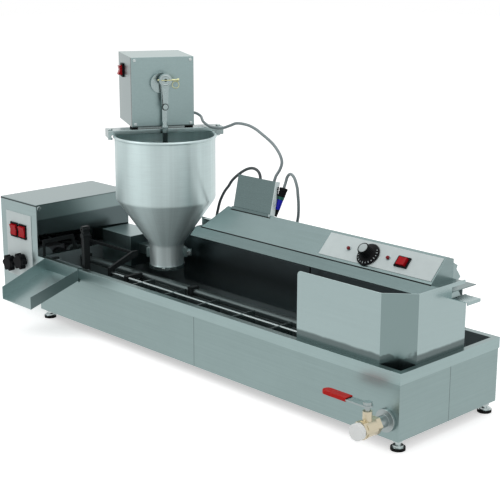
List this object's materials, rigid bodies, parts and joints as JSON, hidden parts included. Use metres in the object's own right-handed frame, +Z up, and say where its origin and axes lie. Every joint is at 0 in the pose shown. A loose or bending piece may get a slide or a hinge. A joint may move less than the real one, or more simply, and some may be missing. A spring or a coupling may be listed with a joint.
{
  "type": "automatic doughnut fryer",
  "caption": "Counter-top ring doughnut fryer: dough hopper with a crank mixer over a two-lane oil tank, a heater head, a drive box, an outlet chute and a drain valve.",
  "frame": {"origin": "centre of the footprint at floor level", "axes": "+X along the tank towards the drain valve end, +Y to the rear, +Z up"},
  "size_m": [1.183, 0.445, 0.5755],
  "materials": {
    "steel": "satin",
    "dark_steel": "satin",
    "motor": "satin",
    "brass": "satin",
    "black": "matte",
    "rubber": "matte",
    "red": "gloss",
    "plate": "satin",
    "white": "satin",
    "lever": "satin",
    "cable": "satin",
    "board": "satin"
  },
  "bodies": {
    "frame": {"outer_shell": "steel", "base_plate": "steel", "oil_tank": "steel", "lane_divider": "steel", "drive_box_body": "steel", "drive_box_lid": "steel", "outlet_chute": "steel", "splash_guard": "steel", "head_body": "steel", "head_base": "steel", "connector_shield": "steel", "hopper": "steel", "nozzle": "steel", "cross_bar": "steel", "mixer_box": "steel", "mixer_front": "steel", "drain_pipe": "steel", "levelling_feet": "dark_steel", "shaft_bearings": "dark_steel", "back_panel": "dark_steel", "heating_element": "dark_steel", "hopper_support": "dark_steel", "bolts": "dark_steel", "thermostat": "dark_steel", "speed_controls": "dark_steel", "turn_motor": "motor", "drive_motor": "motor", "mixer_motor": "motor", "valve_body": "brass", "switch_bodies": "black", "cable_plug": "black", "cable_glands": "black", "rubber_pads": "rubber", "indicator_lamps": "red", "control_plate": "plate", "head_panel": "plate", "outlet_cap": "white", "mixer_cable": "cable", "head_cable": "cable", "plug_cable": "cable", "control_board": "board"},
    "crank": {"crank_disc": "steel", "quick_release_pin": "brass"},
    "conrod": {"connecting_rod": "steel"},
    "plunger_body": {"plunger": "steel"},
    "drive_crank": {"drive_disc": "brass"},
    "pusher": {"pusher_rod": "steel", "pusher_link": "steel"},
    "flipper_body": {"flipper": "steel"},
    "ejector_body": {"ejector": "steel"},
    "idler": {"idler_gear": "brass"},
    "conveyor_switch": {"conveyor_rocker": "red"},
    "turnover_switch": {"turnover_rocker": "red"},
    "heater_switch": {"heater_rocker": "red"},
    "mixer_switch": {"mixer_rocker": "red"},
    "conveyor_knob": {"conveyor_speed_knob": "black"},
    "turnover_knob": {"turnover_speed_knob": "black"},
    "thermostat_dial": {"thermostat_knob": "black"},
    "valve": {"valve_lever": "lever", "lever_sleeve": "red"}
  },
  "joints": [
    {"name": "crank_turn", "type": "hinge", "parent": "frame", "child": "crank", "pos_m": [-0.25226, 0.07999, 0.522], "axis": [0.8829, -0.4695, 0], "continuous": true},
    {"name": "conrod_turn", "type": "hinge", "parent": "crank", "child": "conrod", "pos_m": [-0.23685, 0.07914, 0.53], "axis": [0.8829, -0.4695, 0], "continuous": true},
    {"name": "plunger_slide", "type": "slide", "parent": "frame", "child": "plunger_body", "axis": [0, 0, 1], "range_m": [-0.0183, 0.0022]},
    {"name": "drive_turn", "type": "hinge", "parent": "frame", "child": "drive_crank", "pos_m": [-0.5225, 0.02255, 0.145], "axis": [0, 0, 1], "continuous": true},
    {"name": "pusher_slide", "type": "slide", "parent": "frame", "child": "pusher", "axis": [1, 0, 0], "range_m": [-0.03, 0.03]},
    {"name": "flipper_turn", "type": "hinge", "parent": "frame", "child": "flipper_body", "pos_m": [0.4195, 0.00255, 0.121], "axis": [1, 0, 0], "range_deg": [0, 130]},
    {"name": "ejector_turn", "type": "hinge", "parent": "frame", "child": "ejector_body", "pos_m": [-0.3705, -0.08345, 0.13], "axis": [1, 0, 0], "range_deg": [0, 130]},
    {"name": "idler_turn", "type": "hinge", "parent": "frame", "child": "idler", "pos_m": [-0.4715, -0.04045, 0.1255], "axis": [1, 0, 0], "range_deg": [-165, 0]},
    {"name": "conveyor_switch_rock", "type": "hinge", "parent": "frame", "child": "conveyor_switch", "pos_m": [-0.5375, -0.11045, 0.186], "axis": [-1, 0, 0], "range_deg": [0, 9]},
    {"name": "turnover_switch_rock", "type": "hinge", "parent": "frame", "child": "turnover_switch", "pos_m": [-0.505, -0.11045, 0.186], "axis": [-1, 0, 0], "range_deg": [0, 9]},
    {"name": "heater_switch_rock", "type": "hinge", "parent": "frame", "child": "heater_switch", "pos_m": [0.4315, 0.0582, 0.26857], "axis": [0, 0.7071, 0.7071], "range_deg": [0, 9]},
    {"name": "mixer_switch_rock", "type": "hinge", "parent": "frame", "child": "mixer_switch", "pos_m": [-0.36908, 0.07328, 0.5405], "axis": [0.8829, -0.4695, 0], "range_deg": [0, 9]},
    {"name": "conveyor_knob_turn", "type": "hinge", "parent": "frame", "child": "conveyor_knob", "pos_m": [-0.5495, -0.12145, 0.1085], "axis": [0, -1, 0], "range_deg": [-140, 140]},
    {"name": "turnover_knob_turn", "type": "hinge", "parent": "frame", "child": "turnover_knob", "pos_m": [-0.5055, -0.12145, 0.1205], "axis": [0, -1, 0], "range_deg": [-140, 140]},
    {"name": "thermostat_turn", "type": "hinge", "parent": "frame", "child": "thermostat_dial", "pos_m": [0.3535, 0.04936, 0.27528], "axis": [0, -0.7071, 0.7071], "range_deg": [0, 270]},
    {"name": "valve_turn", "type": "hinge", "parent": "frame", "child": "valve", "pos_m": [0.5425, -0.15745, 0.091], "axis": [0, 0, 1], "range_deg": [0, 90]}
  ],
  "couplings": [
    {"joint": "conrod_turn", "follows": "crank_turn", "ratio": -1},
    {"joint": "ejector_turn", "follows": "flipper_turn", "ratio": 1},
    {"joint": "idler_turn", "follows": "flipper_turn", "ratio": -1.2675}
  ]
}
